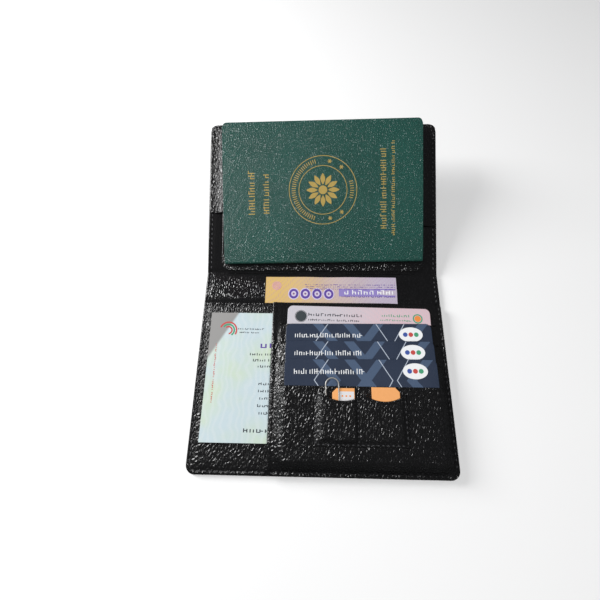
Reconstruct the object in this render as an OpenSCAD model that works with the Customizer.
// A book-style leather passport holder, lying open. The pocket half lies flat
// on the table, the spine lies flat beyond it, and the passport half stands
// up at a shallow angle from the far side of the spine.
//
// Frame: X runs along the spine, Y from the pocket half to the passport half,
// Z up. The origin is the middle of the pocket half's underside.
// Inside a half, "depth" is the distance from the half's own crease, and
// "height" is the distance above the inner lining.

/* [Holder] */
// Length of the holder along its spine
holder_w = 147; // [142:1:156]
// Depth of each half, from its crease to its outer edge
half_d = 97.5; // [97:0.5:104]
// Width of the spine between its two creases
spine_w = 20.5; // [20.5:0.5:26]
// Angle of the passport half above the table
rest_angle = 17; // [0:1:30]
// Radius of the four outer corners
corner_r = 5; // [3:0.5:8]

/* [Leather] */
// Thickness of the outer leather
cover_t = 1.2; // [1:0.1:1.6]
// Thickness of the stiffening board
board_t = 0.8; // [0.5:0.1:1.2]
// Thickness of the inner lining
lining_t = 0.7; // [0.5:0.1:1]
// Thickness of the pocket leather
pocket_t = 0.7; // [0.5:0.1:0.8]
// Width of the outer leather's turned-in edge
turned_edge_w = 6; // [4:1:9]

/* [Card pockets] */
// Left edge of the card panel
card_panel_x = -29.5; // [-32:0.5:-26]
// Middle of the card slots
card_x = 22; // [21:0.5:22]
// Depth of the first card slit
first_slit = 14.1; // [14:0.1:16]
// Distance from one slit to the next
slit_pitch = 12.2; // [11.5:0.1:12.5]
// Depth of the topmost card's top edge
first_card_top = 3.1; // [2:0.1:4]
// Distance from one card's top edge to the next
card_step = 10.8; // [10:0.1:11]
// Tilt of the topmost card in its loose slot
license_tilt = -1; // [-2:0.2:2]
// Tilt of the three payment cards
payment_tilt = 0.5; // [-0.6:0.1:0.6]

/* [SIM patch] */
// Left edge of the patch
patch_x = -4; // [-6:0.5:-3]
// Width of the patch
patch_w = 49.8; // [49:0.2:52]
// Depth of the patch's top edge
patch_top = 54; // [53:0.5:55]
// Height of the patch, from its top edge to its bottom edge
patch_h = 27.5; // [26:0.5:30]

/* [Passport side] */
// Depth of the sleeve's opening at its left end
sleeve_left = 39; // [36:1:44]
// Depth of the sleeve's opening at its right end
sleeve_right = 30; // [29:1:36]
// Depth of the passport's spine when it is pushed home
passport_depth = 6.4; // [5:0.2:6.4]
// Turn of the passport in its loose sleeve
passport_turn = 1.2; // [0:0.2:1.2]
// Angle at which the passport's front cover springs up
cover_spring = 4.6; // [4.4:0.1:4.6]

/* [Hidden] */
$fn = 64;

// Frame
base_t = cover_t + board_t + lining_t;
hinge_z = base_t;
near_crease_y = half_d / 2;
far_crease_y = near_crease_y + spine_w;
// Half of the gap left at each crease
crease_gap = 0.15;
// Inset of the inner layers from the outer edge
inner_inset = 0.5;
inner_w = holder_w - 2 * inner_inset;
inner_d = half_d - inner_inset;
inner_r = corner_r - inner_inset;

// Loose contents, at their standard sizes
card_w = 85.6;
card_d = 54;
card_t = 0.76;
card_r = 3.2;
slip = 0.12;            // clearance over and under a card
paper_t = 0.2;
note_w = 82;            // a banknote folded once
note_d = 67;
note_x = 6;
note_overhang = 17.6;   // how far it reaches over the spine
slip_w = 105;           // the document slip is an A7 sheet
slip_d = 74;
slip_x = -67;
slip_depth = 7.2;
slip_lift = 0.275;      // it rides over the stitching when it is drawn out
passport_w = 125;
passport_d = 88;
passport_x = 1;
passport_r = 3.2;
passport_cover_t = 0.5;
leaf_t = 0.35;

// Heights of the pocket half's layers
note_room = paper_t + 0.25;
pocket_top = note_room + pocket_t;
slip_room = paper_t + 0.3;
backing_h = pocket_top + slip_room;
backing_t = 0.3;
band_t = 0.4;
card_pitch = card_t + 2 * slip + band_t;
front_h = card_height(3) + card_t + slip;
front_top = front_h + pocket_t;
sim_h = front_top + slip;
pin_d = 0.7;
pin_h = sim_h + card_t + slip;
pocket_rim = 3;         // stitched margin of the pocket panels
pocket_edge = 0.8;      // depth of the pockets' open edge
panel_end = inner_d - 0.3;

// Card panel
card_count = 4;
card_wall = 0.6;
panel_inner_end = 91.1;
panel_inner_right = 66.6;
slot_left = card_x - card_w / 2 - 1.4;
slot_right = card_x + card_w / 2 + 0.8;

// SIM patch
patch_rim = 1.6;
patch_t = 0.6;
patch_divider = patch_x + 23.3;
patch_end = patch_top + patch_h;
small_roof = pin_h + pin_d + slip;
large_roof = sim_h + card_t + slip;
small_sim_x = 5.7;
small_sim_depth = 51.8;
large_sim_x = 27.1;
large_sim_depth = 51.1;
scoop_r = 18;
small_scoop_x = 11.5;
large_scoop_x = 34;
scoop_depth = 4.6;
pin_x = 5.7;
pin_depth = 46.1;
pin_bend_r = 3.55;

// Heights of the passport half's layers
rest_t = 0.8;
back_cover_h = rest_t + slip;
sleeve_h = back_cover_h + passport_cover_t + slip;
sleeve_top = sleeve_h + pocket_t;
sleeve_rim = 1.2;
sleeve_end = inner_d;
leaf_angles = [2.3, 3.05, 3.8];
leaf_pitch = 0.42;
leaf_h = back_cover_h + passport_cover_t + 0.05;
front_cover_h = leaf_h + len(leaf_angles) * leaf_pitch + 0.15;

// Stitching
thread_w = 0.6;
thread_h = 0.25;
stitch_x = holder_w / 2 - 2.2;
stitch_end = inner_d - 1.3;

// Height of the underside of card k, counted from the topmost card
function card_height(k) = backing_h + band_t + slip + k * card_pitch;
// Depth of card k's top edge, and of the slit that it goes through
function card_top(k) = first_card_top + k * card_step;
function slit(k) = first_slit + k * slit_pitch;
// Depth at which the leather band behind card k begins
function band_start(k) = k == 0 ? pocket_edge : slit(k - 1);
// Top of the leather at step k: the bands behind the cards, then the front
function step_top(k) = k < card_count ? card_height(k) - slip : front_top;

// ---------- shapes shared by several parts ----------

// A box given by its two corners
module slab(low, high) translate(low) cube(high - low);

// The pocket half's frame: depth runs along -Y from the near crease
module near_frame() translate([0, near_crease_y, hinge_z]) children();

// A box in the pocket half, from its X, depth and height ranges
module near_slab(x, depth, h)
    slab([x[0], -depth[1], h[0]], [x[1], -depth[0], h[1]]);

// The passport half's frame: depth runs along its own +Y from the far crease
module far_frame() translate([0, far_crease_y, hinge_z]) rotate([rest_angle, 0, 0]) children();

// Outline of one half: square at the crease, rounded at the outer corners
module half_outline(w, start, end, r) {
    translate([-w / 2, start]) square([w, end - start - r]);
    translate([r - w / 2, start]) square([w - 2 * r, end - start]);
    for (side = [-1, 1]) translate([side * (w / 2 - r), end - r]) circle(r);
}

// A rounded rectangle centred on the origin
module rounded_outline(w, d, r) {
    square([w, d - 2 * r], center = true);
    square([w - 2 * r, d], center = true);
    for (x = [-1, 1], y = [-1, 1]) translate([x * (w / 2 - r), y * (d / 2 - r)]) circle(r);
}

// One layer of a half between two heights
module half_layer(w, start, end, r, low, high)
    translate([0, 0, low]) linear_extrude(high - low) half_outline(w, start, end, r);

// ---------- layers that both halves share ----------

// Outer leather with its edge turned in around the stiffening board
module cover_layer() difference() {
    half_layer(holder_w, crease_gap, half_d, corner_r, -base_t, -lining_t);
    board_layer();
}

// Stiffening board inside the turned-in edge
module board_layer()
    half_layer(holder_w - 2 * turned_edge_w, 2, half_d - turned_edge_w, 2,
               cover_t - base_t, -lining_t);

// Inner lining
module lining_layer() half_layer(inner_w, crease_gap, inner_d, inner_r, -lining_t, 0);

module as_near() near_frame() mirror([0, 1, 0]) children();

// ---------- pocket half ----------

module near_cover_leather() color("#17171a") as_near() cover_layer();
module near_stiffener_board() color("#8b7a5e") as_near() board_layer();
module near_lining() color("#1d1d20") as_near() lining_layer();

// Full-width panel: the pocket behind it holds the banknote
module note_pocket_panel() color("#202023") near_frame() difference() {
    mirror([0, 1, 0]) half_layer(inner_w - 1, pocket_edge, panel_end, inner_r, 0, pocket_top);
    near_slab([pocket_rim - inner_w / 2, inner_w / 2 - pocket_rim],
              [0, panel_end - pocket_rim], [-1, note_room]);
}

// Profile of the card panel's side walls: one step for each card
module panel_profile(low) {
    steps = [for (k = [0:card_count])
        for (p = [[-band_start(k), step_top(k)],
                  [-(k < card_count ? slit(k) : panel_inner_end + card_wall), step_top(k)]]) p];
    polygon(concat([[-pocket_edge, low]], steps, [[-(panel_inner_end + card_wall), low]]));
}

// A wall with that profile, standing across X
module panel_wall(x, low)
    translate([x, 0, 0]) rotate([90, 0, 90]) linear_extrude(card_wall) panel_profile(low);

// Card panel: one leather panel with a slit for each card, stepping up from
// slit to slit, and a flange that is stitched down along the outer edges
module card_panel() color("#202023") near_frame() {
    right = panel_inner_right + card_wall;
    for (k = [0:card_count - 1])
        near_slab([card_panel_x, right], [band_start(k), slit(k)],
                  [step_top(k) - band_t, step_top(k)]);
    near_slab([card_panel_x, right], [slit(card_count - 1), panel_inner_end + card_wall],
              [front_h, front_top]);
    // the slits' closed ends
    for (k = [1:card_count], x = [[card_panel_x, slot_left], [slot_right, right]])
        near_slab(x, [band_start(k), band_start(k) + card_wall],
                  [step_top(k - 1) - band_t, step_top(k)]);
    panel_wall(card_panel_x, backing_h);
    panel_wall(panel_inner_right, pocket_top);
    near_slab([card_panel_x, right], [panel_inner_end, panel_inner_end + card_wall],
              [pocket_top, front_top]);
    // stitched flange
    intersection() {
        mirror([0, 1, 0]) half_layer(inner_w - 1, pocket_edge, panel_end, inner_r,
                                     pocket_top, pocket_top + pocket_t);
        union() {
            near_slab([panel_inner_right, holder_w], [0, half_d], [0, base_t + pocket_top]);
            near_slab([card_panel_x, holder_w], [panel_inner_end, half_d],
                      [0, base_t + pocket_top]);
        }
    }
}

// Cloth behind the deepest card
module card_pocket_backing() color("#2b2b30") near_frame()
    near_slab([card_panel_x + card_wall, panel_inner_right],
              [slit(0) + card_wall, panel_inner_end], [backing_h, backing_h + backing_t]);

// Cloth between card k - 1 and card k, below the slit of card k
module slot_liner(k) color("#2b2b30") near_frame()
    near_slab([slot_left, slot_right], [slit(k), card_top(k - 1) + card_d + 1],
              [step_top(k) - 0.3, step_top(k) - 0.1]);
module card_slot_liner_upper() slot_liner(1);
module card_slot_liner_middle() slot_liner(2);
module card_slot_liner_lower() slot_liner(3);

// One pocket of the SIM patch with its scooped mouth
module sim_pocket(x, roof, scoop_x) difference() {
    near_slab(x, [patch_top, patch_end], [front_top, roof + patch_t]);
    near_slab([x[0] + patch_rim / 2, x[1] - patch_rim / 2], [0, patch_end - patch_rim],
              [0, roof]);
    translate([scoop_x, scoop_r - patch_top - scoop_depth, 0]) cylinder(r = scoop_r, h = 2 * roof);
}

// Two small pockets for SIM cards, sewn onto the card panel
module sim_patch_panel() color("#202023") near_frame() {
    edge = patch_rim / 2;
    right = patch_x + patch_w;
    sim_pocket([patch_x + edge, patch_divider], small_roof, small_scoop_x);
    sim_pocket([patch_divider, right - edge], large_roof, large_scoop_x);
    near_slab([patch_x, patch_x + edge], [patch_top, patch_end], [front_top, small_roof + patch_t]);
    near_slab([right - edge, right], [patch_top, patch_end], [front_top, large_roof + patch_t]);
}

module near_edge_stitching() color("#3a3a3e") near_frame() {
    // along the left edge and the bare part of the bottom edge
    near_slab([-stitch_x, thread_w - stitch_x], [1, stitch_end - 4],
              [pocket_top, pocket_top + thread_h]);
    near_slab([4 - stitch_x, card_panel_x - 1], [stitch_end - thread_w, stitch_end],
              [pocket_top, pocket_top + thread_h]);
    // over the card panel's flange
    near_slab([card_panel_x + 1, stitch_x - 4], [stitch_end - thread_w, stitch_end],
              [pocket_top + pocket_t, pocket_top + pocket_t + thread_h]);
    near_slab([stitch_x - thread_w, stitch_x], [1, stitch_end - 4],
              [pocket_top + pocket_t, pocket_top + pocket_t + thread_h]);
}

module sim_patch_stitching() color("#3a3a3e") near_frame() {
    small_top = small_roof + patch_t;
    large_top = large_roof + patch_t;
    right = patch_x + patch_w;
    near_slab([patch_x + 0.5, patch_x + 0.5 + thread_w], [patch_top + 1, patch_end - 1],
              [small_top, small_top + thread_h]);
    near_slab([patch_x + 2, patch_divider - 1], [patch_end - 1.1, patch_end - 0.5],
              [small_top, small_top + thread_h]);
    near_slab([patch_divider + 1, right - 2], [patch_end - 1.1, patch_end - 0.5],
              [large_top, large_top + thread_h]);
    near_slab([patch_divider + 0.1, patch_divider + 0.1 + thread_w], [patch_top + 3, patch_end - 2],
              [large_top, large_top + thread_h]);
    near_slab([right - 0.5 - thread_w, right - 0.5], [patch_top + 1, patch_end - 1],
              [large_top, large_top + thread_h]);
}

// ---------- spine ----------

// One layer of the spine between two heights
module spine_layer(w, edge, low, high)
    slab([-w / 2, near_crease_y + edge, low], [w / 2, far_crease_y - edge, high]);

module spine_cover_leather() color("#17171a") spine_layer(holder_w, crease_gap, 0, cover_t);

// Soft strip that stiffens the spine
module spine_reinforcement() color("#3d3d42")
    spine_layer(holder_w - 2 * turned_edge_w, 1, cover_t, cover_t + board_t);

// Lining over the strip: it folds down to the outer leather at both ends
module spine_lining() color("#1d1d20") difference() {
    spine_layer(inner_w, crease_gap, cover_t, base_t);
    spine_layer(holder_w - 2 * turned_edge_w, 0.15, cover_t - 1, cover_t + board_t);
}

module spine_edge_stitching() color("#3a3a3e") for (side = [-1, 1])
    slab([side * (stitch_x - thread_w / 2) - thread_w / 2, near_crease_y + 1, base_t],
         [side * (stitch_x - thread_w / 2) + thread_w / 2, far_crease_y - 1, base_t + thread_h]);

// ---------- passport half ----------

module far_cover_leather() color("#17171a") far_frame() cover_layer();
module far_stiffener_board() color("#8b7a5e") far_frame() board_layer();
module far_lining() color("#1d1d20") far_frame() lining_layer();

// Raised inner panel under the passport, with rounded corners at the crease
module passport_rest_panel() color("#222225") far_frame()
    translate([0.5, (1.3 + sleeve_end - sleeve_rim) / 2, 0])
        linear_extrude(rest_t) rounded_outline(129, sleeve_end - sleeve_rim - 1.3, 6);

// Sleeve over the passport's back cover: stitched on three sides, with a
// slanting open edge
module passport_sleeve_panel() color("#202023") far_frame() difference() {
    intersection() {
        half_layer(inner_w - 1, 1, sleeve_end, inner_r, 0, sleeve_top);
        linear_extrude(sleeve_top) polygon([
            [-holder_w / 2, sleeve_left], [holder_w / 2, sleeve_right],
            [holder_w / 2, half_d], [-holder_w / 2, half_d]]);
    }
    slab([pocket_rim - inner_w / 2, 0, -1],
         [inner_w / 2 - pocket_rim, sleeve_end - sleeve_rim, sleeve_h]);
}

module far_edge_stitching() color("#3a3a3e") far_frame() {
    for (side = [[-1, sleeve_left], [1, sleeve_right]]) {
        x = side[0] * (stitch_x - thread_w / 2);
        slab([x - thread_w / 2, 1, 0], [x + thread_w / 2, side[1] - 1, thread_h]);
        slab([x - thread_w / 2, side[1] + 1, sleeve_top],
             [x + thread_w / 2, stitch_end - 4, sleeve_top + thread_h]);
    }
    slab([4 - stitch_x, stitch_end - thread_w, sleeve_top],
         [stitch_x - 4, stitch_end, sleeve_top + thread_h]);
}

// ---------- passport ----------

// The passport's frame: its spine lies along X and its leaves run along +Y
module passport_frame() far_frame()
    translate([passport_x, passport_depth, 0]) rotate([0, 0, passport_turn]) children();

// One leaf or cover of the passport, hinged at its spine
module leaf(h, angle, t, inset)
    translate([0, 0.7, h]) rotate([angle, 0, 0]) linear_extrude(t)
        half_outline(passport_w - 2 * inset, 0, passport_d - 0.7 - inset, passport_r);

module passport_back_cover() color("#1f4a3f") passport_frame()
    leaf(back_cover_h, 0, passport_cover_t, 0);

// Cloth-covered fold that joins the two covers
module passport_spine_wrap() color("#183a32") passport_frame()
    slab([-passport_w / 2, 0, back_cover_h], [passport_w / 2, 0.6, front_cover_h + 0.3]);

// Sewn block of leaves, fanned a little by their own spring
module passport_pages() color("#efece0") passport_frame() {
    slab([0.4 - passport_w / 2, 0.65, leaf_h - 0.03],
         [passport_w / 2 - 0.4, 3, leaf_h + len(leaf_angles) * leaf_pitch]);
    for (i = [0:len(leaf_angles) - 1]) leaf(leaf_h + i * leaf_pitch, leaf_angles[i], leaf_t, 0.6);
}

module passport_front_cover() color("#1f4a3f") passport_frame()
    leaf(front_cover_h, cover_spring, passport_cover_t, 0);

// ---------- cards and papers ----------

// Card k in its slot
module plastic_card(k, tilt) near_frame()
    translate([card_x, -(card_top(k) + card_d / 2), card_height(k)]) rotate([0, 0, tilt])
        linear_extrude(card_t) rounded_outline(card_w, card_d, card_r);

module license_card() color("#e6dce4") plastic_card(0, license_tilt);
module payment_card_upper() color("#2a3850") plastic_card(1, payment_tilt);
module payment_card_middle() color("#2a3850") plastic_card(2, payment_tilt);
module payment_card_lower() color("#2a3850") plastic_card(3, payment_tilt);

// A folded note that stands out of its pocket across the spine
module banknote() color("#d9b06a") near_frame()
    near_slab([note_x - note_w / 2, note_x + note_w / 2],
              [-note_overhang, note_d - note_overhang], [0.1, 0.1 + paper_t]);

module document_slip() color("#dfe9ec") near_frame()
    near_slab([slip_x, slip_x + slip_w], [slip_depth, slip_depth + slip_d],
              [pocket_top + slip_lift, pocket_top + slip_lift + paper_t]);

// A SIM card with one cut corner; side is -1 for left and 1 for right
module sim_card(x, depth, w, d, side) near_frame()
    translate([x + w / 2, -depth, sim_h]) linear_extrude(card_t) polygon([
        [-side * w / 2, 0], [side * (w / 2 - 2.4), 0], [side * w / 2, -2.4],
        [side * w / 2, -d], [-side * w / 2, -d]]);

module sim_card_small() color("#f4a35c") sim_card(small_sim_x, small_sim_depth, 12.2, 15, -1);
module sim_card_large() color("#f4a35c") sim_card(large_sim_x, large_sim_depth, 15.2, 25, 1);

// Bent wire that pushes out a phone's SIM tray: a loop with one long leg
module sim_eject_pin() color("#c9ccd0") near_frame()
    translate([pin_x, -(pin_depth + pin_bend_r + pin_d / 2), pin_h + pin_d / 2]) {
        rotate_extrude(angle = 180) translate([pin_bend_r, 0]) circle(d = pin_d);
        translate([-pin_bend_r, 0, 0]) rotate([90, 0, 0]) cylinder(d = pin_d, h = 16);
        translate([pin_bend_r, 0, 0]) rotate([90, 0, 0]) cylinder(d = pin_d, h = 24);
    }

near_cover_leather();
near_stiffener_board();
near_lining();
note_pocket_panel();
card_panel();
card_pocket_backing();
card_slot_liner_upper();
card_slot_liner_middle();
card_slot_liner_lower();
sim_patch_panel();
near_edge_stitching();
sim_patch_stitching();
spine_cover_leather();
spine_reinforcement();
spine_lining();
spine_edge_stitching();
far_cover_leather();
far_stiffener_board();
far_lining();
passport_rest_panel();
passport_sleeve_panel();
far_edge_stitching();
passport_back_cover();
passport_spine_wrap();
passport_pages();
passport_front_cover();
license_card();
payment_card_upper();
payment_card_middle();
payment_card_lower();
banknote();
document_slip();
sim_card_small();
sim_card_large();
sim_eject_pin();
